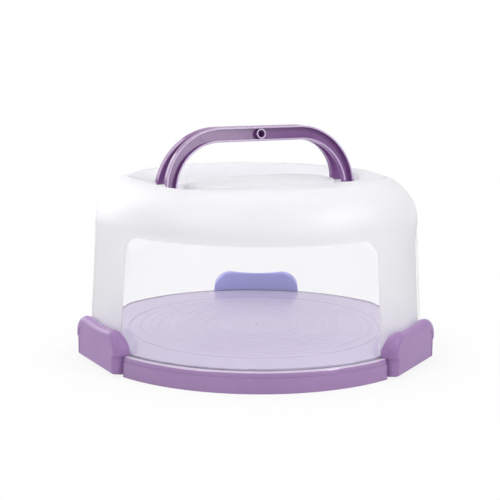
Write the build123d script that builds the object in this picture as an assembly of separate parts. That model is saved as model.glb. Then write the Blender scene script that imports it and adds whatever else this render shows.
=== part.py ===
from build123d import *
import os
from math import asin, atan, cos, degrees, hypot, radians, sin, sqrt, tan

# A round cake carrier: serving tray, dome cover with clear windows, two handle bails
# that fold down onto the cover, and three hinged latches.
# Sizes are in millimetres. The origin is the centre of the tray's underside, +Z points
# up and the front of the carrier faces -Y.

# Tray
tray_radius = 150.0
rim_height = 17.1
rim_wall = 3.0
rim_top_round = 2.0
rim_step = 0.5
rim_step_height = 12.6
sheet = 2.2
plate_height = 17.5
plate_edge_round = 0.8
seat_height = 14.6
seat_gap = 0.8

# Grooves moulded in the plate
groove_count = 9
groove_first_radius = 35.0
groove_pitch = 8.0
groove_width = 5.0
groove_depth = 0.35
border_radius = 110.4
border_width = 0.9
gate_mark_radius = 1.6
gate_mark_depth = 0.3

# Ribs under the plate
rib_thickness = 1.6
ring_rib_radii = (19.0, 110.0, 134.0)
spoke_count = 12
rib_depth = 8.0

# Cover
flange_gap = 0.7
flange_width = 2.1
flange_thickness = 2.4
cover_wall = 2.0
cover_draft = 3.6
cover_height = 134.9
cover_crown = 1.5
shoulder_radius = 37.0

# Clear windows, set slightly back in the cover's wall between two frosted pillars
window_turn = -2.5
window_top = 111.0
window_corner = 16.0
window_relief = 0.3
window_flange_gap = 0.3
pillar_spread = 60.0
pillar_half_angle = 14.0

# Recess in the cover's top that takes the folded bails, round a raised island
recess_depth = 9.6
recess_slope = 1.3
recess_end_margin = 1.5
recess_side_margin = 4.9
recess_corner = 32.0
island_height = 5.1
island_gap = 10.0
island_end_flat = 3.7
island_round = 1.0
island_draft = 0.1

# Handle bails
handle_turn = 28.0
bail_spacing = 19.0
bail_top_gap = 0.3
bail_height = 47.9
bail_bar_depth = 12.2
bail_thickness = 6.5
bail_edge_round = 0.7
bail_outer_bend = 52.5
bail_outer_bend_place = 38.0
bail_inner_bend = 41.5
bail_inner_bend_place = 39.2
bail_floor_gap = 0.45
channel_depth = 4.2
channel_flange = 1.5
pin_radius = 1.9
pin_fit = 0.06
pin_reach = 2.9
pin_end_gap = 0.4
ear_radius = 3.4
ear_length = 4.6
ear_gap = 0.4
snap_boss_radius = 4.3
snap_boss_wall = 1.1
snap_hole_radius = 2.6
snap_peg_radius = 1.4
snap_peg_length = 3.4
ejector_mark_radius = 2.2
ejector_mark_height = 0.3
ejector_mark_place = 53.0

# Latches
latch_spacing = 120.0
latch_half = 42.0
latch_tail_half = 39.6
latch_stand_out = 2.0
latch_bottom = 2.0
latch_top = 38.6
latch_top_slope = 24.0
latch_corner = 16.0
latch_dip_angle = 7.0
latch_edge_round = 5.5
latch_foot_round = 1.5
latch_tail_corner = 4.5
latch_tail_bulge = 0.9
latch_wall = 2.2
latch_side_wall = 4.5
latch_roof_extra = 1.8
latch_cover_gap = 0.4
latch_hook_gap = 0.5
latch_hook_depth = 2.0
latch_tail_reach = 2.8
pad_half = 34.5
pad_top = 27.5
pad_corner = 9.0
pad_depth = 0.3

# Latch hinges
hinge_height = 8.5
notch_side_gap = 1.0
notch_ledge_gap = 0.5
notch_depth = 12.0
lug_radius = 3.6
lug_gap = 0.3
lug_place = 28.5
lug_length = 8.0
lug_slot = 3.4
hinge_pin_radius = 2.0
hinge_pin_fit = 0.08
hinge_rib_radius = 3.3
hinge_rib_thickness = 2.5
hinge_rib_gap = 1.0

# Places that follow from the sizes above
rim_inner = tray_radius - rim_wall
flange_radius = rim_inner - flange_gap
flange_top = seat_height + flange_thickness
cover_radius = flange_radius - flange_width
cover_slope = tan(radians(cover_draft))
cover_top = seat_height + cover_height
plate_radius = cover_radius - cover_wall - seat_gap
plate_under = plate_height - sheet
seat_under = seat_height - sheet
window_foot = flange_top + window_flange_gap
bail_half_length = bail_outer_bend_place + bail_outer_bend
bail_bar_height = bail_height - bail_bar_depth / 2
recess_floor = cover_top - recess_depth
pivot_height = recess_floor + bail_floor_gap + bail_thickness / 2
bail_lean = degrees(
    asin((bail_spacing - bail_top_gap) / 2 / hypot(bail_height, bail_thickness / 2))
    - atan(bail_thickness / 2 / bail_height))
latch_face = tray_radius + latch_stand_out
latch_inner_radius = cover_radius + latch_cover_gap
latch_hook_height = flange_top + latch_hook_gap
hinge_distance = latch_face - latch_wall - lug_gap - lug_radius
notch_half = latch_tail_half + notch_side_gap
notch_back = tray_radius - notch_depth
notch_ledge = rim_inner - notch_ledge_gap


def spun(points):
    """Face in the XZ plane from (radius, height) points, ready to turn about Z."""
    return make_face(Polyline(*[(r, 0, z) for r, z in points], close=True))


def corner(face, x, z):
    """Corner of a face in the XZ plane nearest to a place."""
    return face.vertices().sort_by_distance((x, 0, z))[0]


def block(x_low, x_high, y_low, y_high, z_low, z_high):
    """Box between two corners."""
    middle = Pos((x_low + x_high) / 2, (y_low + y_high) / 2, (z_low + z_high) / 2)
    return middle * Box(x_high - x_low, y_high - y_low, z_high - z_low)


def disc(radius, low, high):
    """Upright cylinder about Z between two heights."""
    return Pos(0, 0, (low + high) / 2) * Cylinder(radius, high - low)


def rod(radius, x_low, x_high, y, z):
    """Cylinder along X between two places."""
    return Pos((x_low + x_high) / 2, y, z) * Rot(0, 90, 0) * Cylinder(radius, x_high - x_low)


def plug(radius, y_low, y_high, x, z):
    """Cylinder along Y between two places."""
    return Pos(x, (y_low + y_high) / 2, z) * Rot(90, 0, 0) * Cylinder(radius, y_high - y_low)


def round_the_tray(count, start=0.0):
    """Evenly spaced turns about Z, from the front."""
    return [Rot(0, 0, start + index * 360 / count) for index in range(count)]


# Tray

def tray_shell():
    """Rim, seat and plate as one moulded sheet."""
    face = spun([
        (0, plate_height),
        (plate_radius, plate_height),
        (plate_radius, seat_height),
        (rim_inner, seat_height),
        (rim_inner, rim_height),
        (tray_radius - rim_step, rim_height),
        (tray_radius - rim_step, rim_step_height),
        (tray_radius, rim_step_height),
        (tray_radius, 0),
        (rim_inner, 0),
        (rim_inner, seat_under),
        (plate_radius - sheet, seat_under),
        (plate_radius - sheet, plate_under),
        (0, plate_under),
    ])
    face = fillet(corner(face, tray_radius - rim_step, rim_height), rim_top_round)
    face = fillet(corner(face, plate_radius, plate_height), plate_edge_round)
    return revolve(face, Axis.Z)


def plate_grooves():
    """Round-bottomed grooves, the fine border line and the moulding gate's mark."""
    half = groove_width / 2
    bow = (half ** 2 + groove_depth ** 2) / (2 * groove_depth)
    centre = Pos(0, 0, plate_height + bow - groove_depth)
    cuts = []
    for index in range(groove_count):
        cuts.append(centre * Torus(groove_first_radius + index * groove_pitch, bow))
    cuts.append(Pos(0, 0, plate_height) * Torus(border_radius, border_width / 2))
    cuts.append(disc(gate_mark_radius, plate_height - gate_mark_depth, plate_height + sheet))
    return cuts


def plate_ribs():
    """Ring and spoke ribs that stiffen the plate from below."""
    low = plate_under - rib_depth
    half = rib_thickness / 2
    ribs = []
    for radius in ring_rib_radii:
        ribs.append(disc(radius + half, low, plate_under) - disc(radius - half, low, plate_under))
    spoke = block(-half, half, -plate_radius + sheet / 2, -ring_rib_radii[0], low, plate_under)
    for place in round_the_tray(spoke_count):
        ribs.append(place * spoke)
    return ribs


def notch_walls():
    """Back and side walls of one notch, built at the front."""
    outer = notch_half + sheet
    walls = block(-outer, outer, -notch_back, sheet - notch_back, 0, seat_under)
    walls += block(-outer, -notch_half, -tray_radius, -notch_back, 0, seat_under)
    walls += block(notch_half, outer, -tray_radius, -notch_back, 0, seat_under)
    return walls & disc(tray_radius - rim_wall / 2, 0, seat_under)


def hinge_lug(side):
    """Snap lug that carries one end of a latch, built at the front."""
    low = side * lug_place - lug_length / 2
    high = side * lug_place + lug_length / 2
    lug = rod(lug_radius, low, high, -hinge_distance, hinge_height)
    lug += block(
        low, high, -hinge_distance, -notch_back + sheet / 2,
        hinge_height - hinge_pin_radius, seat_under)
    lug -= rod(hinge_pin_radius + hinge_pin_fit, low, high, -hinge_distance, hinge_height)
    return lug - block(
        low, high, -latch_face, -hinge_distance,
        hinge_height - lug_slot / 2, hinge_height + lug_slot / 2)


def base_tray():
    """Tray with its grooved plate, ribs, three notches and their hinge lugs."""
    tray = tray_shell()
    for cut in plate_grooves():
        tray -= cut
    for rib in plate_ribs():
        tray += rib
    rim_gap = block(-notch_half, notch_half, -2 * tray_radius, 0, -rim_height, 2 * rim_height)
    rim_gap -= disc(notch_ledge, -2 * rim_height, 3 * rim_height)
    pocket = block(-notch_half, notch_half, -tray_radius, -notch_back, 0, seat_under)
    for place in round_the_tray(3, 180):
        tray -= place * rim_gap
        tray -= place * pocket
        tray += place * notch_walls()
        tray += place * hinge_lug(-1)
        tray += place * hinge_lug(1)
    return tray


# Cover

def cover_outer_radius(height):
    """Radius of the cover's drafted wall at a height."""
    return cover_radius - cover_slope * (height - flange_top)


def cover_body(inset):
    """Solid dome whose surface lies an inset inside the cover's outer surface."""
    foot = seat_height - inset
    high = cover_top - inset
    top_radius = cover_outer_radius(cover_top) - inset
    foot_radius = top_radius + cover_slope * (high - foot)
    face = spun([(0, foot), (foot_radius, foot), (top_radius, high), (0, high + cover_crown)])
    face = fillet(corner(face, top_radius, high), shoulder_radius - inset)
    return revolve(face, Axis.Z)


def recess(inset):
    """Pocket with sloping sides for the folded bails, grown by an inset."""
    half_length = bail_half_length + recess_end_margin
    half_width = bail_spacing / 2 + bail_height + recess_side_margin
    side_growth = inset * hypot(1, recess_slope)
    sections = []
    for height in (recess_floor - inset, cover_top + 2 * recess_depth):
        wide = side_growth + recess_slope * (height - recess_floor)
        sections.append(Pos(0, 0, height) * RectangleRounded(
            2 * (half_length + wide), 2 * (half_width + wide), recess_corner + wide))
    return Rot(0, 0, handle_turn) * loft(sections, ruled=True)


def pillar():
    """Prism of one frosted pillar, flared at its top by the windows' round corners."""
    flare = window_top - window_corner
    foot_half = cover_outer_radius(window_foot) * sin(radians(pillar_half_angle))
    half = cover_outer_radius(flare) * sin(radians(pillar_half_angle))
    bend = window_corner * (1 - sqrt(0.5))
    lines = [Line((-foot_half, 0, window_foot), (foot_half, 0, window_foot))]
    for side in (-1, 1):
        lines.append(Line((side * foot_half, 0, window_foot), (side * half, 0, flare)))
        lines.append(ThreePointArc(
            (side * half, 0, flare),
            (side * (half + bend), 0, window_top - bend),
            (side * (half + window_corner), 0, window_top)))
    lines.append(Line((-half - window_corner, 0, window_top), (half + window_corner, 0, window_top)))
    return extrude(make_face(lines), amount=tray_radius, dir=(0, -1, 0))


def window_relief_cutter():
    """Thin layer that sets the windows back from the pillars and the top of the cover."""
    layer = revolve(spun([
        (cover_outer_radius(window_foot) - window_relief, window_foot),
        (tray_radius, window_foot),
        (tray_radius, window_top),
        (cover_outer_radius(window_top) - window_relief, window_top),
    ]), Axis.Z)
    for side in (-1, 1):
        layer -= Rot(0, 0, window_turn + side * pillar_spread) * pillar()
    return layer


def island(inset):
    """Raised middle of the recess, inside the folded bails, shrunk by an inset."""
    half_length = bail_inner_bend_place + bail_inner_bend - island_gap
    half_width = bail_spacing / 2 + bail_height - bail_bar_depth - island_gap
    sections = []
    for height in (-1.5 * cover_wall, island_height - inset):
        less = inset + island_draft * height
        wide = half_width - less
        sections.append(Pos(0, 0, recess_floor + height) * RectangleRounded(
            2 * (half_length - less), 2 * wide, wide - island_end_flat))
    body = loft(sections, ruled=True)
    crest = body.edges().group_by(Axis.Z)[-1]
    return Rot(0, 0, handle_turn) * fillet(crest, island_round)


def handle_ear():
    """Ear beside the right-hand foot of the front bail, in the handle's own frame."""
    start = bail_half_length + ear_gap
    y = -bail_spacing / 2
    ear = rod(ear_radius, start, start + ear_length, y, pivot_height)
    ear += block(
        start, start + ear_length, y - ear_radius, y + ear_radius,
        recess_floor - cover_wall / 2, pivot_height)
    hole_end = bail_half_length + pin_reach + pin_end_gap
    return ear, rod(pin_radius + pin_fit, start - pin_end_gap, hole_end, y, pivot_height)


def dome_cover():
    """Dome with its flange, recessed top, handle ears and windows."""
    cover = cover_body(0) - recess(0) + island(0)
    cover -= cover_body(cover_wall) - recess(cover_wall) + island(cover_wall)
    cover += disc(flange_radius, seat_height, flange_top) - disc(
        cover_outer_radius(seat_height) - cover_wall, seat_height, flange_top)
    cover -= window_relief_cutter()
    ear, hole = handle_ear()
    for mirrored in (False, True):
        for half_turn in (0, 180):
            place = Rot(0, 0, handle_turn + half_turn)
            side_ear = mirror(ear, Plane.YZ) if mirrored else ear
            side_hole = mirror(hole, Plane.YZ) if mirrored else hole
            cover += place * side_ear
            cover -= place * side_hole
    return cover


# Handle bails

def arch(inset, low):
    """Face of the bail's arch, shrunk by an inset and cut off at a height above the pivot."""
    outer_centre = bail_height - bail_outer_bend
    inner_centre = bail_height - bail_bar_depth - bail_inner_bend
    lines = []
    ends = {}
    for place, level, radius in (
            (bail_outer_bend_place, outer_centre, bail_outer_bend - inset),
            (bail_inner_bend_place, inner_centre, bail_inner_bend + inset)):
        start = asin((low - level) / radius)
        middle = (start + radians(90)) / 2
        ends[place] = place + radius * cos(start)
        for side in (-1, 1):
            lines.append(ThreePointArc(
                (side * ends[place], 0, low),
                (side * (place + radius * cos(middle)), 0, level + radius * sin(middle)),
                (side * place, 0, level + radius)))
        lines.append(Line((-place, 0, level + radius), (place, 0, level + radius)))
    for side in (-1, 1):
        lines.append(Line(
            (side * ends[bail_inner_bend_place], 0, low),
            (side * ends[bail_outer_bend_place], 0, low)))
    return make_face(lines)


def bail_blank():
    """Rounded arch with full-round feet, pivot at the origin and outer face towards -Y."""
    half = bail_thickness / 2
    blank = extrude(arch(0, -half), amount=half, both=True)
    rims = [
        edge for edge in blank.edges()
        if abs(abs(edge.center().Y) - half) < 0.01 and edge.center().Z > -half + 0.01
    ]
    blank = fillet(rims, bail_edge_round)
    reach = bail_half_length + 1
    feet = rod(half, -reach, reach, 0, 0) + block(-reach, reach, -half, half, 0, bail_height + 1)
    return blank & feet


def bail(has_peg):
    """One bail with its channel, snap boss and pins, pivot at the origin."""
    half = bail_thickness / 2
    web = channel_depth - half
    body = bail_blank()
    body -= Pos(0, -half, 0) * extrude(arch(channel_flange, -half), amount=channel_depth, dir=(0, 1, 0))
    boss = plug(snap_boss_radius, -half, web, 0, bail_bar_height)
    boss -= plug(snap_boss_radius - snap_boss_wall, -half, web, 0, bail_bar_height)
    body += boss
    bend = ejector_mark_place - bail_outer_bend_place
    mark_height = bail_height - bail_outer_bend + sqrt(bail_outer_bend ** 2 - bend ** 2) - bail_bar_depth / 2
    for side in (-1, 1):
        body += plug(
            ejector_mark_radius, web - ejector_mark_height, web, side * ejector_mark_place, mark_height)
    if has_peg:
        body += plug(snap_peg_radius, half, half + snap_peg_length, 0, bail_bar_height)
    else:
        body -= plug(snap_hole_radius, -half, half, 0, bail_bar_height)
    inside = bail_half_length - channel_flange
    outside = bail_half_length + pin_reach
    body += rod(pin_radius, inside, outside, 0, 0)
    body += rod(pin_radius, -outside, -inside, 0, 0)
    return body


def placed_bail(has_peg, half_turn):
    """Bail leaning inwards over the cover, at the front or turned to the rear."""
    place = Rot(0, 0, handle_turn + half_turn) * Pos(0, -bail_spacing / 2, pivot_height)
    return place * Rot(-bail_lean, 0, 0) * bail(has_peg)


# Latches

def latch_outline(inset, low):
    """Front outline of a latch with round shoulders and a shallow dip between them."""
    centre = latch_half - latch_corner
    level = latch_top - latch_corner
    radius = latch_corner - inset
    dip = radians(latch_dip_angle)
    meet_x = centre - radius * sin(dip)
    meet_z = level + radius * cos(dip)
    dip_z = meet_z - meet_x / sin(dip) * (1 - cos(dip))
    middle = (radians(90) + dip) / 2
    lines = [Line((-centre - radius, 0, low), (centre + radius, 0, low))]
    for side in (-1, 1):
        lines.append(Line((side * (centre + radius), 0, low), (side * (centre + radius), 0, level)))
        lines.append(ThreePointArc(
            (side * (centre + radius), 0, level),
            (side * (centre + radius * cos(middle)), 0, level + radius * sin(middle)),
            (side * meet_x, 0, meet_z)))
    lines.append(ThreePointArc((-meet_x, 0, meet_z), (0, 0, dip_z), (meet_x, 0, meet_z)))
    return make_face(lines)


def latch_prism(inset, front, low):
    """Latch outline run back from its front, with a top that slopes down towards the cover."""
    depth = latch_face - notch_back + latch_wall
    slope = tan(radians(latch_top_slope))
    back = Vector(0, 1, -slope)
    face = Pos(0, front - latch_face, -slope * front) * latch_outline(inset, low)
    return extrude(face, amount=depth * back.length, dir=back.normalized())


def latch_tail():
    """Narrower lower part of a latch, between the ends of the rim."""
    front = -latch_face
    back = latch_wall - notch_back
    corner_x = latch_tail_half - latch_tail_corner
    corner_y = front + latch_tail_corner
    plan = make_face([
        Line((-corner_x, front), (corner_x, front)),
        SagittaArc((corner_x, front), (latch_tail_half, corner_y), -latch_tail_bulge),
        Polyline(
            (latch_tail_half, corner_y), (latch_tail_half, back),
            (-latch_tail_half, back), (-latch_tail_half, corner_y)),
        SagittaArc((-latch_tail_half, corner_y), (-corner_x, front), -latch_tail_bulge),
    ])
    tail = Pos(0, 0, latch_bottom) * extrude(plan, amount=latch_hook_height - latch_bottom)
    foot = [
        edge for edge in tail.edges()
        if edge.center().Z < latch_bottom + 0.01 and edge.center().Y < front + latch_edge_round
    ]
    return fillet(foot, latch_foot_round)


def latch_blank():
    """Outside of a latch, built at the front: wide head over the rim and narrower tail."""
    head = latch_prism(0, 0, latch_bottom)
    face_edges = [
        edge for edge in head.edges()
        if abs(edge.center().Y + latch_face) < 0.01 and edge.center().Z > latch_bottom + 0.01
    ]
    head = fillet(face_edges, latch_edge_round)
    head &= block(-2 * latch_half, 2 * latch_half, -2 * latch_face, 0, latch_hook_height, 2 * latch_top)
    return head + latch_tail() - disc(latch_inner_radius, 0, 2 * latch_top)


def latch_hollow():
    """Space inside a latch, open below, and the room that its tail leaves behind it."""
    space = Pos(0, 0, -latch_roof_extra) * latch_prism(latch_side_wall, latch_wall, -latch_top)
    space -= disc(latch_inner_radius + latch_hook_depth, -3 * latch_top, 2 * latch_top)
    space += disc(rim_inner, 0, latch_hook_height)
    return space + block(
        -2 * latch_half, 2 * latch_half, -hinge_distance + latch_tail_reach, 0, 0, latch_hook_height)


def hinge_ribs(side):
    """Pair of ribs either side of a lug, with the pin that runs through it."""
    place = side * lug_place
    reach = lug_length / 2 + hinge_rib_gap
    pin_half = reach + hinge_rib_thickness
    ribs = rod(hinge_pin_radius, place - pin_half, place + pin_half, -hinge_distance, hinge_height)
    for low, high in ((place - pin_half, place - reach), (place + reach, place + pin_half)):
        ribs += rod(hinge_rib_radius, low, high, -hinge_distance, hinge_height)
        ribs += block(
            low, high, latch_wall / 2 - latch_face, -hinge_distance,
            hinge_height - hinge_rib_radius, hinge_height + hinge_rib_radius)
    return ribs


def latch():
    """One latch with its finger pad, hook, ribs and pins, built at the front."""
    body = latch_blank() - latch_hollow()
    pad = Rectangle(2 * pad_half, 2 * pad_top)
    pad = fillet(pad.vertices(), pad_corner)
    body -= Pos(0, -latch_face, 0) * extrude(
        Plane.XZ * pad, amount=pad_depth, both=True)
    body += hinge_ribs(-1)
    body += hinge_ribs(1)
    return body


parts = {
    "base_tray": base_tray(),
    "dome_cover": dome_cover(),
    "handle_front": placed_bail(False, 0),
    "handle_rear": placed_bail(True, 180),
    "latch_rear": Rot(0, 0, 180) * latch(),
    "latch_front_left": Rot(0, 0, 180 + latch_spacing) * latch(),
    "latch_front_right": Rot(0, 0, 180 - latch_spacing) * latch(),
}

os.makedirs("parts", exist_ok=True)
for name, part in parts.items():
    export_step(part, f"parts/{name}.step")
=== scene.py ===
"""Looks of a round cake carrier: purple moulded tray, latches and bails, and a frosted
cover with clear windows, in a plain white studio."""

import math

import bmesh
import bpy
from bpy.props import FloatProperty, FloatVectorProperty, PointerProperty
from mathutils import Matrix, Vector


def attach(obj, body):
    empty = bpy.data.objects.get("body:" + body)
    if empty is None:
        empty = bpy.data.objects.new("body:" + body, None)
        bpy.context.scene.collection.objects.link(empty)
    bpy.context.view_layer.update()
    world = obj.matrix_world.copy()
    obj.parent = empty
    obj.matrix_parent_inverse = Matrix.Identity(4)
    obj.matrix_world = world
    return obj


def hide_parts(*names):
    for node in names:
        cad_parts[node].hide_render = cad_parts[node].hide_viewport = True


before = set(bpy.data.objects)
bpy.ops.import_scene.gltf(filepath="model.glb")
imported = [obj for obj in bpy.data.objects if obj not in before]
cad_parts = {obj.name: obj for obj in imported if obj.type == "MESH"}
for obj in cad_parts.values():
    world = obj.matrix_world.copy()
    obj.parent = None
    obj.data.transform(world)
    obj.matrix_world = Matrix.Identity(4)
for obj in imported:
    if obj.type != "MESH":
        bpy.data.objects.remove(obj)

bl_info = {
    "name": "Cake Carrier",
    "version": (1, 0, 0),
    "blender": (4, 5, 0),
    "location": "View3D > Sidebar > Cake Carrier",
    "description": "Dresses a round cake carrier and sets up its studio",
    "category": "Object",
}

# The cover's wall and its windows, as the frame's cover has them, in metres
FLANGE_TOP = 0.017
COVER_RADIUS = 0.1442
COVER_DRAFT = math.radians(3.6)
WINDOW_FOOT = 0.0173
WINDOW_TOP = 0.111
WINDOW_RELIEF = 0.0003

# The cover's shell: distance in metres within which points merge, and its sharp edges
MERGE_DISTANCE = 0.00001
SHARP_ANGLE = math.radians(32.0)

# The cover's plastic: light that goes straight through, and the share that deepens a colour
COVER_IOR = 1.45
FROST_PASSES = (0.86, 0.86, 0.87)
CLEAR_PASSES = (0.97, 0.97, 0.98)
FROST_DEEPENING = 0.975
CLEAR_DEEPENING = 0.995
COVER_ROUGHNESS_SPREAD = 0.2

# The purple plastic: colour and extra roughness of its scuffs, and its deeper bails
PLASTIC_IOR = 1.49
SCUFF_TINT = (0.12, 0.10, 0.14)
SCUFF_ROUGHNESS = 0.18
BAIL_DEEPENING = 0.9

# Textures: depth of the mould's grain in metres, scales of the broad patterns, and the
# turns in radians and the stretch of the two sets of scuffs
GRAIN_DEPTH = 0.0002
BROAD_GRAIN_SCALE = 28.0
WORN_PATCH_SCALE = 22.0
SCUFF_TURNS = ((0.3, 0.2, 0.7), (-0.5, 0.4, -0.9))
SCUFF_STRETCH = (9.0, 0.6, 1.0)

# The tray: where its plate, with its painted reflection, gives way to the seat, and its rim's
# coat and the painted highlight along its top edge
SEAT_RADIUS = 0.1463
PLATE_BLEND = 0.004
RIM_COAT_IOR = 1.5
RIM_HIGHLIGHT_FOOT = 0.0158
RIM_HIGHLIGHT_TOP = 0.0170
RIM_HIGHLIGHT_TINT = (0.80, 0.67, 0.87)

# The leaning bails, as the frame has them, in metres
HANDLE_TURN = math.radians(28.0)
BAIL_LEAN = math.radians(7.349)
BAIL_SPACING = 0.019
BAIL_THICKNESS = 0.0065
PIVOT_HEIGHT = 0.1436

# The painted highlight on the bails' rims: depths below their outer face, in metres, and its
# strength
BAIL_HIGHLIGHT_START = 0.0006
BAIL_HIGHLIGHT_FULL = 0.0002
BAIL_HIGHLIGHT_SHARE = 0.85

# Lamps: name, setting that holds the power, place, height of the aim, and size, in metres
LAMPS = (
    ("key_lamp", "key_power", (-1.1, -1.0, 1.3), 0.08, 0.9),
    ("fill_lamp", "fill_power", (1.1, -0.55, 1.05), 0.1, 0.35),
    ("top_lamp", "top_power", (0.0, 0.3, 1.6), 0.05, 1.1),
    ("edge_lamp", "edge_power", (-1.2, 0.9, 0.7), 0.05, 1.0),
    ("sheen_lamp", "sheen_power", (0.997, -0.79, 0.377), 0.18, 0.19),
)

# Studio floor: distances from the middle, in metres, between which it turns fully white
WHITE = (1.0, 1.0, 1.0, 1.0)
FLOOR_TINT = (0.86, 0.86, 0.87, 1.0)
FLOOR_SHADE_END = 0.15
FLOOR_WHITE_START = 0.22
FLOOR_NEAR_SHARE = 0.86

# Camera: sensor and lens in millimetres, place in metres, dip and roll in radians
SENSOR_WIDTH = 36.0
FOCAL_LENGTH = 84.10
LENS_SHIFT = -0.01272
CLIP_START = 0.01
CLIP_END = 100.0
CAMERA_PLACE = (0.0, -1.0, 0.2658)
CAMERA_DIP = 0.180
CAMERA_ROLL = 0.009


def color_setting(name, description, default):
    """Colour that the panel shows."""
    return FloatVectorProperty(
        name=name, description=description, subtype="COLOR", size=3, min=0.0, max=1.0,
        default=default)


def share_setting(name, description, default):
    """Share from 0 to 1 that the panel shows."""
    return FloatProperty(
        name=name, description=description, subtype="FACTOR", min=0.0, max=1.0,
        default=default)


def power_setting(name, description, default):
    """Power of a lamp that the panel shows."""
    return FloatProperty(
        name=name, description=description, unit="POWER", min=0.0, max=200.0,
        default=default)


class PlasticSettings(bpy.types.PropertyGroup):
    """Purple plastic of the tray, the bails and the latches."""

    tint: color_setting(
        "Tint", "Main colour of the plastic", (0.395, 0.225, 0.490))
    deep_tint: color_setting(
        "Deep tint", "Colour where the pigment is denser", (0.350, 0.192, 0.445))
    # Painted light: a bluer tone that stands in for how a latch is lit where it is seen through
    # the cover
    through_cover_light_tint: color_setting(
        "Through tint", "Colour of a latch that is seen through the cover",
        (0.370, 0.370, 0.790))
    # Painted reflection: a paler tone that stands in for the white surroundings mirrored in the
    # plate
    plate_reflection_tint: color_setting(
        "Plate tint", "Colour of the polished plate under the cover", (0.410, 0.355, 0.500))
    # Painted shade: a darker tone than the tray's and latches' plastic, which stands in for the
    # shade on the bails
    bail_shade_tint: color_setting(
        "Bail tint", "Colour of the thinner, glossy bails", (0.275, 0.115, 0.345))
    # Painted highlight on the bails' outer rims
    bail_rim_highlight_tint: color_setting(
        "Rim tint", "Colour of the bails' polished outer rims", (0.700, 0.560, 0.800))
    tray_roughness: share_setting(
        "Tray roughness", "Roughness of the polished tray", 0.16)
    latch_roughness: share_setting(
        "Latch roughness", "Roughness of the latches' fine satin texture", 0.36)
    bail_roughness: share_setting(
        "Bail roughness", "Roughness of the smooth bails", 0.12)
    grain: FloatProperty(
        name="Grain", description="Size of the mould's texture", unit="LENGTH",
        min=0.0001, max=0.01, default=0.0006)


class CoverSettings(bpy.types.PropertyGroup):
    """Frosted shell of the cover and its clear windows."""

    frost: color_setting(
        "Frost", "Colour of the frosted shell", (0.970, 0.970, 0.985))
    clear: color_setting(
        "Clear", "Colour of the clear plastic", (0.975, 0.975, 0.985))
    frost_roughness: share_setting(
        "Frost roughness", "Roughness of the frosted shell", 0.42)


class StudioSettings(bpy.types.PropertyGroup):
    """Lamps, light of the room and floor."""

    key_power: power_setting(
        "Key power", "Power of the large lamp at the left", 8.0)
    fill_power: power_setting(
        "Fill power", "Power of the lamp at the right", 6.0)
    top_power: power_setting(
        "Top power", "Power of the lamp overhead", 4.0)
    edge_power: power_setting(
        "Edge power", "Power of the lamp behind, which lights the top edges", 7.0)
    sheen_power: power_setting(
        "Sheen power", "Power of the small lamp that the bails mirror", 0.55)
    room_level: FloatProperty(
        name="Room level", description="Light that comes from all round", min=0.0, max=2.0,
        default=0.42)
    floor_size: FloatProperty(
        name="Floor size", description="Length of the floor's sides", unit="LENGTH",
        min=1.0, max=50.0, default=14.0)


def new_group(name, inputs, outputs):
    """Empty shader node group with float, vector or colour sockets."""
    group = bpy.data.node_groups.new(name, "ShaderNodeTree")
    for in_out, sockets in (("INPUT", inputs), ("OUTPUT", outputs)):
        for label, kind, default in sockets:
            socket = group.interface.new_socket(
                name=label, in_out=in_out, socket_type="NodeSocket" + kind)
            if default is not None:
                socket.default_value = default
    return group, group.nodes.new("NodeGroupInput"), group.nodes.new("NodeGroupOutput")


def feed(tree, node, inputs):
    """Gives a node's inputs their values, or links them where the value is a socket."""
    for name, value in inputs.items():
        if isinstance(value, bpy.types.NodeSocket):
            tree.links.new(value, node.inputs[name])
        else:
            node.inputs[name].default_value = value


def add(tree, kind, inputs=None, **settings):
    """Node of a kind, with its settings and its inputs."""
    node = tree.nodes.new(kind)
    for key, value in settings.items():
        setattr(node, key, value)
    feed(tree, node, inputs or {})
    return node


def calculate(tree, operation, *values, **settings):
    """Result of a math node on numbers and sockets."""
    inputs = dict(enumerate(values))
    return add(tree, "ShaderNodeMath", inputs, operation=operation, **settings).outputs[0]


def measure(tree, operation, *vectors):
    """Number that a vector math node makes of its vectors."""
    inputs = dict(enumerate(vectors))
    return add(tree, "ShaderNodeVectorMath", inputs, operation=operation).outputs["Value"]


def noise(tree, vector, scale, detail, roughness, distortion=0.0):
    """Noise pattern at a place."""
    return add(tree, "ShaderNodeTexNoise", {
        "Vector": vector, "Scale": scale, "Detail": detail, "Roughness": roughness,
        "Distortion": distortion}).outputs["Fac"]


def remap(tree, value, low, high, to_low=0.0, to_high=1.0):
    """Value mapped from one range to another and clamped to it."""
    return add(tree, "ShaderNodeMapRange", {
        "Value": value, "From Min": low, "From Max": high,
        "To Min": to_low, "To Max": to_high}).outputs[0]


def blend(tree, factor, below, above, kind="MIX"):
    """Mix of two colours."""
    return add(
        tree, "ShaderNodeMix", {"Factor": factor, "A": below, "B": above},
        data_type="RGBA", blend_type=kind).outputs["Result"]


def mould_grain_group():
    """Fine texture that a plastic takes from its mould, as a height and a roughness."""
    group, start, end = new_group(
        "Mould Grain",
        [("Vector", "Vector", None), ("Grain Size", "Float", 0.0006),
         ("Roughness", "Float", 0.3), ("Roughness Spread", "Float", 0.06)],
        [("Height", "Float", None), ("Roughness", "Float", None)])
    given = start.outputs
    scale = calculate(group, "DIVIDE", 1.0, given["Grain Size"])
    fine = noise(group, given["Vector"], scale, detail=3.0, roughness=0.6)
    broad = noise(group, given["Vector"], BROAD_GRAIN_SCALE, detail=3.0, roughness=0.55)
    height = add(
        group, "ShaderNodeMix", {"Factor": 0.25, "A": fine, "B": broad}, data_type="FLOAT")
    spread = calculate(group, "SUBTRACT", broad, 0.5)
    feed(group, end, {
        "Height": height.outputs["Result"],
        "Roughness": calculate(
            group, "MULTIPLY_ADD", spread, given["Roughness Spread"], given["Roughness"])})
    return group


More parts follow.
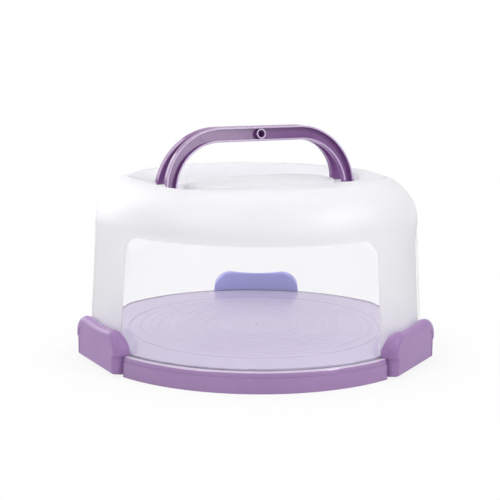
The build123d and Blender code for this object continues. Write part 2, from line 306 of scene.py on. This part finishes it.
def pigment_drift_group():
    """Slow change of colour from pigment that isn't quite evenly mixed."""
    group, start, end = new_group(
        "Pigment Drift",
        [("Vector", "Vector", None), ("Light", "Color", (0.8, 0.8, 0.8, 1.0)),
         ("Deep", "Color", (0.7, 0.7, 0.7, 1.0)), ("Patch Size", "Float", 0.06)],
        [("Color", "Color", None)])
    given = start.outputs
    scale = calculate(group, "DIVIDE", 1.0, given["Patch Size"])
    clouds = noise(
        group, given["Vector"], scale, detail=4.0, roughness=0.6, distortion=0.8)
    contrast = remap(group, clouds, low=0.3, high=0.7)
    feed(group, end, {"Color": blend(group, contrast, given["Light"], given["Deep"])})
    return group


def handling_marks_group():
    """Hairline scuffs that a surface gets in use, as a mask."""
    group, start, end = new_group(
        "Handling Marks",
        [("Vector", "Vector", None), ("Amount", "Float", 0.4), ("Spacing", "Float", 0.004)],
        [("Mask", "Float", None)])
    given = start.outputs
    scale = calculate(group, "DIVIDE", 1.0, given["Spacing"])
    hairlines = []
    for turn in SCUFF_TURNS:
        mapping = add(
            group, "ShaderNodeMapping",
            {"Vector": given["Vector"], "Rotation": turn, "Scale": SCUFF_STRETCH},
            vector_type="TEXTURE")
        lines = noise(group, mapping.outputs[0], scale, detail=2.0, roughness=0.4)
        hairlines.append(remap(group, lines, low=0.66, high=0.74))
    either = calculate(group, "MAXIMUM", *hairlines)
    patches = noise(group, given["Vector"], WORN_PATCH_SCALE, detail=2.0, roughness=0.5)
    where = remap(group, patches, low=0.45, high=0.65)
    masked = calculate(group, "MULTIPLY", either, where)
    feed(group, end, {
        "Mask": calculate(group, "MULTIPLY", masked, given["Amount"], use_clamp=True)})
    return group


def place_group(tree, name, make, vector, **values):
    """Outputs of a shared node group, which is made the first time that it is used."""
    inputs = {key.replace("_", " ").title(): value for key, value in values.items()}
    return add(
        tree, "ShaderNodeGroup", {"Vector": vector, **inputs},
        node_tree=bpy.data.node_groups.get(name) or make()).outputs


def empty_tree(owner):
    """Node tree of a material or a world, with no nodes."""
    owner.use_nodes = True
    owner.node_tree.nodes.clear()
    return owner.node_tree


def blank_material(name):
    """Material with only a Principled shader, an output and object coordinates."""
    material = bpy.data.materials.new(name)
    tree = empty_tree(material)
    shader = add(tree, "ShaderNodeBsdfPrincipled")
    output = add(tree, "ShaderNodeOutputMaterial", {"Surface": shader.outputs[0]})
    coordinates = add(tree, "ShaderNodeTexCoord")
    return material, shader, output, coordinates.outputs["Object"]


def moulded_plastic(name, light, deep, roughness, grain, relief, marks):
    """Opaque dyed plastic with pigment drift, mould grain and hairline scuffs."""
    material, shader, _, vector = blank_material(name)
    tree = material.node_tree
    drift = place_group(
        tree, "Pigment Drift", pigment_drift_group, vector,
        light=(*light, 1.0), deep=(*deep, 1.0), patch_size=0.07)
    texture = place_group(
        tree, "Mould Grain", mould_grain_group, vector,
        grain_size=grain, roughness=roughness, roughness_spread=0.08)
    scuffs = place_group(
        tree, "Handling Marks", handling_marks_group, vector, amount=marks, spacing=0.004)
    bump = add(tree, "ShaderNodeBump", {
        "Strength": relief, "Distance": GRAIN_DEPTH, "Height": texture["Height"]})
    feed(tree, shader, {
        "Base Color": blend(
            tree, scuffs["Mask"], drift["Color"], (*SCUFF_TINT, 1.0), "SCREEN"),
        "Roughness": calculate(
            tree, "MULTIPLY_ADD", scuffs["Mask"], SCUFF_ROUGHNESS, texture["Roughness"]),
        "Normal": bump.outputs[0],
        "IOR": PLASTIC_IOR})
    return material


def base_shader(material):
    """Principled shader of a material and its object coordinates."""
    nodes = material.node_tree.nodes
    shader = next(node for node in nodes if node.type == "BSDF_PRINCIPLED")
    coordinates = next(node for node in nodes if node.type == "TEX_COORD")
    return shader, coordinates.outputs["Object"]


def tint_where(tree, shader, mask, tint):
    """Mixes a tint over the base colour where a mask says so."""
    before = shader.inputs["Base Color"].links[0].from_socket
    feed(tree, shader, {"Base Color": blend(tree, mask, before, (*tint, 1.0))})


def height_of(tree, vector):
    """Height of a place."""
    return add(tree, "ShaderNodeSeparateXYZ", {0: vector}).outputs["Z"]


def paint_plate_reflection_and_rim_highlight(material, tint):
    """Paints a reflection on the tray's inner plate as a paler colour, and gives its rim a coat
    and a painted highlight along its top edge.
    """
    tree = material.node_tree
    shader, vector = base_shader(material)
    flat = add(
        tree, "ShaderNodeVectorMath", {0: vector, 1: (1.0, 1.0, 0.0)}, operation="MULTIPLY")
    radius = measure(tree, "LENGTH", flat.outputs[0])
    inside = remap(tree, radius, SEAT_RADIUS, SEAT_RADIUS - PLATE_BLEND)
    outside = calculate(tree, "SUBTRACT", 1.0, inside)
    # Painted highlight: a paler band along the rim's top edge
    highlight_height = remap(tree, height_of(tree, vector), RIM_HIGHLIGHT_FOOT, RIM_HIGHLIGHT_TOP)
    edge = calculate(tree, "MULTIPLY", highlight_height, outside)
    # Painted reflection: the plate inside the seat takes a paler tone
    tint_where(tree, shader, inside, tint)
    tint_where(tree, shader, edge, RIM_HIGHLIGHT_TINT)
    feed(tree, shader, {"Coat Weight": outside, "Coat IOR": RIM_COAT_IOR})


def paint_light_through_cover(material, tint):
    """Paints a bluer colour on a piece where it is seen through the clear cover, as painted
    light.
    """
    tree = material.node_tree
    shader, _ = base_shader(material)
    rays = add(tree, "ShaderNodeLightPath")
    tint_where(tree, shader, rays.outputs["Is Transmission Ray"], tint)


def paint_bail_rim_highlights(material, tint):
    """Paints a highlight on the outermost rims of both leaning bails as a paler colour."""
    tree = material.node_tree
    shader, vector = base_shader(material)
    across = measure(tree, "DOT_PRODUCT", vector, (
        math.cos(BAIL_LEAN) * math.sin(HANDLE_TURN),
        -math.cos(BAIL_LEAN) * math.cos(HANDLE_TURN), 0.0))
    either = calculate(tree, "ABSOLUTE", across)
    above = calculate(tree, "SUBTRACT", height_of(tree, vector), PIVOT_HEIGHT)
    depth = calculate(tree, "MULTIPLY_ADD", above, math.sin(BAIL_LEAN), either)
    face = BAIL_SPACING / 2 * math.cos(BAIL_LEAN) + BAIL_THICKNESS / 2
    # Painted highlight: a paler band at the bails' outermost rims
    rims = remap(
        tree, depth, face - BAIL_HIGHLIGHT_START, face - BAIL_HIGHLIGHT_FULL, to_high=BAIL_HIGHLIGHT_SHARE)
    tint_where(tree, shader, rims, tint)


def see_through_plastic(name, color, deep, roughness, transmission, relief, grain, passes):
    """Frosted or clear plastic that lets a share of each lamp's light through."""
    material, shader, output, vector = blank_material(name)
    tree = material.node_tree
    drift = place_group(
        tree, "Pigment Drift", pigment_drift_group, vector,
        light=(*color, 1.0), deep=(*deep, 1.0), patch_size=0.09)
    texture = place_group(
        tree, "Mould Grain", mould_grain_group, vector, grain_size=grain,
        roughness=roughness, roughness_spread=roughness * COVER_ROUGHNESS_SPREAD)
    bump = add(tree, "ShaderNodeBump", {
        "Strength": relief, "Distance": GRAIN_DEPTH, "Height": texture["Height"]})
    feed(tree, shader, {
        "Base Color": drift["Color"],
        "Roughness": texture["Roughness"],
        "Normal": bump.outputs[0],
        "Transmission Weight": transmission,
        "IOR": COVER_IOR})
    rays = add(tree, "ShaderNodeLightPath")
    passing = add(tree, "ShaderNodeBsdfTransparent", {"Color": (*passes, 1.0)})
    mix = add(tree, "ShaderNodeMixShader", {
        0: rays.outputs["Is Shadow Ray"], 1: shader.outputs[0], 2: passing.outputs[0]})
    feed(tree, output, {"Surface": mix.outputs[0]})
    return material


def deeper(color, share):
    """Darker tone of a colour."""
    return [value * share for value in color]


def dress(node, material):
    """Gives a piece of the frame its finish."""
    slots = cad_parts[node].data.materials
    slots.clear()
    slots.append(material)


def merged_copy(node, name):
    """Copy of a frame piece as one connected, smooth shell with its sharp edges kept."""
    mesh = bpy.data.meshes.new(name)
    shell = bmesh.new()
    shell.from_mesh(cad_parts[node].data)
    bmesh.ops.remove_doubles(shell, verts=shell.verts, dist=MERGE_DISTANCE)
    for face in shell.faces:
        face.smooth = True
    for edge in shell.edges:
        if len(edge.link_faces) == 2:
            edge.smooth = edge.calc_face_angle(0.0) < SHARP_ANGLE
    shell.to_mesh(mesh)
    shell.free()
    piece = bpy.data.objects.new(name, mesh)
    bpy.context.scene.collection.objects.link(piece)
    return piece


def wall_radius(height):
    """Outer radius of the cover's drafted wall at a height."""
    return COVER_RADIUS - math.tan(COVER_DRAFT) * (height - FLANGE_TOP)


def is_window(face):
    """Whether a face of the cover is clear: on the flange, in a window or inside the wall."""
    place = face.center
    if place.z < WINDOW_FOOT:
        return True
    if place.z > WINDOW_TOP:
        return False
    vertices = face.id_data.vertices
    for index in face.vertices:
        point = vertices[index].co
        if wall_radius(point.z) - math.hypot(point.x, point.y) < WINDOW_RELIEF / 2:
            return False
    return True


class CARRIER_OT_tray(bpy.types.Operator):
    """Dresses the serving tray in polished purple plastic, with a painted reflection on its
    plate and a painted highlight along its rim
    """

    bl_idname = "carrier.tray"
    bl_label = "Tray"

    def execute(self, context):
        finish = context.scene.carrier_plastic
        plastic = moulded_plastic(
            "tray_plastic_polished", finish.tint, finish.deep_tint,
            finish.tray_roughness, finish.grain, relief=0.015, marks=0.4)
        # Painted reflection on the plate and painted highlight along the rim's top edge
        paint_plate_reflection_and_rim_highlight(plastic, finish.plate_reflection_tint)
        dress("base_tray", plastic)
        return {"FINISHED"}


class CARRIER_OT_cover(bpy.types.Operator):
    """Builds the cover with its frosted shell and clear windows"""

    bl_idname = "carrier.cover"
    bl_label = "Cover"

    def execute(self, context):
        finish = context.scene.carrier_cover
        cover = merged_copy("dome_cover", "cover_shell")
        cover.data.materials.append(see_through_plastic(
            "cover_frosted", finish.frost, deeper(finish.frost, FROST_DEEPENING),
            finish.frost_roughness, transmission=0.55, relief=0.10, grain=0.0005,
            passes=FROST_PASSES))
        cover.data.materials.append(see_through_plastic(
            "cover_clear", finish.clear, deeper(finish.clear, CLEAR_DEEPENING),
            roughness=0.02, transmission=1.0, relief=0.02, grain=0.03,
            passes=CLEAR_PASSES))
        for face in cover.data.polygons:
            face.material_index = 1 if is_window(face) else 0
        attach(cover, "cover")
        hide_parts("dome_cover")
        return {"FINISHED"}


class CARRIER_OT_bails(bpy.types.Operator):
    """Dresses the two handle bails in smooth purple plastic, with painted shade and a painted
    highlight on their rims
    """

    bl_idname = "carrier.bails"
    bl_label = "Handle bails"

    def execute(self, context):
        finish = context.scene.carrier_plastic
        # Painted shade: the bails take their own, darker tint
        plastic = moulded_plastic(
            "bail_plastic_smooth", finish.bail_shade_tint,
            deeper(finish.bail_shade_tint, BAIL_DEEPENING),
            finish.bail_roughness, finish.grain, relief=0.05, marks=0.6)
        # Painted highlight on the bails' outer rims
        paint_bail_rim_highlights(plastic, finish.bail_rim_highlight_tint)
        dress("handle_front", plastic)
        dress("handle_rear", plastic)
        return {"FINISHED"}


class CARRIER_OT_latches(bpy.types.Operator):
    """Dresses the three latches in satin purple plastic, with painted light where they are seen
    through the cover
    """

    bl_idname = "carrier.latches"
    bl_label = "Latches"

    def execute(self, context):
        finish = context.scene.carrier_plastic
        plastic = moulded_plastic(
            "latch_plastic_satin", finish.tint, finish.deep_tint,
            finish.latch_roughness, finish.grain, relief=0.12, marks=0.35)
        # Painted light: a bluer tone where the latches are seen through the cover
        paint_light_through_cover(plastic, finish.through_cover_light_tint)
        for node in ("latch_front_left", "latch_front_right", "latch_rear"):
            dress(node, plastic)
        return {"FINISHED"}


def area_lamp(name, place, aim, size, power):
    """Square soft lamp that points at a place."""
    data = bpy.data.lights.new(name, "AREA")
    data.shape = "SQUARE"
    data.size = size
    data.energy = power
    lamp = bpy.data.objects.new(name, data)
    bpy.context.scene.collection.objects.link(lamp)
    turn = (Vector(aim) - Vector(place)).to_track_quat("-Z", "Y")
    lamp.matrix_world = Matrix.Translation(place) @ turn.to_matrix().to_4x4()


def seen_directly(tree):
    """Mask of the rays that show a white background: camera, glossy and transmitted ones."""
    rays = add(tree, "ShaderNodeLightPath").outputs
    seen = calculate(tree, "MAXIMUM", rays["Is Camera Ray"], rays["Is Glossy Ray"])
    return calculate(tree, "MAXIMUM", seen, rays["Is Transmission Ray"])


def studio_world(level):
    """White surroundings that light the object softly."""
    world = bpy.data.worlds.new("studio_world")
    tree = empty_tree(world)
    light = add(tree, "ShaderNodeBackground", {"Color": WHITE, "Strength": level})
    white = add(tree, "ShaderNodeBackground", {"Color": WHITE, "Strength": 1.0})
    mix = add(tree, "ShaderNodeMixShader", {
        0: seen_directly(tree), 1: light.outputs[0], 2: white.outputs[0]})
    add(tree, "ShaderNodeOutputWorld", {0: mix.outputs[0]})
    bpy.context.scene.world = world


def floor_material():
    """Matt pale floor that reads white and keeps the object's shadow."""
    material = bpy.data.materials.new("studio_floor")
    tree = empty_tree(material)
    matt = add(tree, "ShaderNodeBsdfDiffuse", {"Color": FLOOR_TINT})
    white = add(tree, "ShaderNodeEmission", {"Color": WHITE, "Strength": 1.0})
    coordinates = add(tree, "ShaderNodeTexCoord")
    distance = measure(tree, "LENGTH", coordinates.outputs["Object"])
    share = remap(
        tree, distance, FLOOR_SHADE_END, FLOOR_WHITE_START, to_low=FLOOR_NEAR_SHARE)
    mix = add(tree, "ShaderNodeMixShader", {
        0: calculate(tree, "MULTIPLY", seen_directly(tree), share),
        1: matt.outputs[0], 2: white.outputs[0]})
    add(tree, "ShaderNodeOutputMaterial", {"Surface": mix.outputs[0]})
    return material


def studio_floor(size):
    """Flat square floor under the object."""
    sheet = bmesh.new()
    bmesh.ops.create_grid(sheet, x_segments=1, y_segments=1, size=size / 2)
    mesh = bpy.data.meshes.new("studio_floor")
    sheet.to_mesh(mesh)
    sheet.free()
    mesh.materials.append(floor_material())
    floor = bpy.data.objects.new("studio_floor", mesh)
    bpy.context.scene.collection.objects.link(floor)
    return floor


def studio_camera():
    """Camera at the photograph's place and angle."""
    data = bpy.data.cameras.new("studio_camera")
    data.sensor_width = SENSOR_WIDTH
    data.lens = FOCAL_LENGTH
    data.shift_x = LENS_SHIFT
    data.clip_start = CLIP_START
    data.clip_end = CLIP_END
    camera = bpy.data.objects.new("studio_camera", data)
    bpy.context.scene.collection.objects.link(camera)
    tilt = Matrix.Rotation(math.radians(90.0) - CAMERA_DIP, 4, "X")
    roll = Matrix.Rotation(CAMERA_ROLL, 4, "Z")
    camera.matrix_world = Matrix.Translation(CAMERA_PLACE) @ tilt @ roll
    bpy.context.scene.camera = camera


class CARRIER_OT_studio(bpy.types.Operator):
    """Sets up the white floor, the soft lamps and the camera"""

    bl_idname = "carrier.studio"
    bl_label = "Studio"

    def execute(self, context):
        studio = context.scene.carrier_studio
        context.scene.view_settings.view_transform = "Standard"
        floor = studio_floor(studio.floor_size)
        studio_world(studio.room_level)
        for name, power, place, aim_height, size in LAMPS:
            area_lamp(name, place, (0.0, 0.0, aim_height), size, getattr(studio, power))
        studio_camera()
        return {"FINISHED"}


class CARRIER_PT_panel(bpy.types.Panel):
    """Steps that dress the cake carrier"""

    bl_idname = "CARRIER_PT_panel"
    bl_label = "Cake Carrier"
    bl_space_type = "VIEW_3D"
    bl_region_type = "UI"
    bl_category = "Cake Carrier"

    def draw(self, context):
        scene = context.scene
        sections = (
            ("Plastic", scene.carrier_plastic,
             ("carrier.tray", "carrier.bails", "carrier.latches")),
            ("Cover", scene.carrier_cover, ("carrier.cover",)),
            ("Studio", scene.carrier_studio, ("carrier.studio",)))
        for title, settings, steps in sections:
            box = self.layout.box()
            box.label(text=title)
            for name in settings.bl_rna.properties.keys():
                if name not in ("rna_type", "name"):
                    box.prop(settings, name)
            for step in steps:
                box.operator(step)


CLASSES = (
    PlasticSettings,
    CoverSettings,
    StudioSettings,
    CARRIER_OT_tray,
    CARRIER_OT_cover,
    CARRIER_OT_bails,
    CARRIER_OT_latches,
    CARRIER_OT_studio,
    CARRIER_PT_panel,
)


def register():
    for item in CLASSES:
        bpy.utils.register_class(item)
    bpy.types.Scene.carrier_plastic = PointerProperty(type=PlasticSettings)
    bpy.types.Scene.carrier_cover = PointerProperty(type=CoverSettings)
    bpy.types.Scene.carrier_studio = PointerProperty(type=StudioSettings)


def unregister():
    del bpy.types.Scene.carrier_studio
    del bpy.types.Scene.carrier_cover
    del bpy.types.Scene.carrier_plastic
    for item in reversed(CLASSES):
        bpy.utils.unregister_class(item)


def main():
    """Runs every step."""
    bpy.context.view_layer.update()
    register()
    bpy.ops.carrier.tray()
    bpy.ops.carrier.cover()
    bpy.ops.carrier.bails()
    bpy.ops.carrier.latches()
    bpy.ops.carrier.studio()


if __name__ == "__main__":
    main()
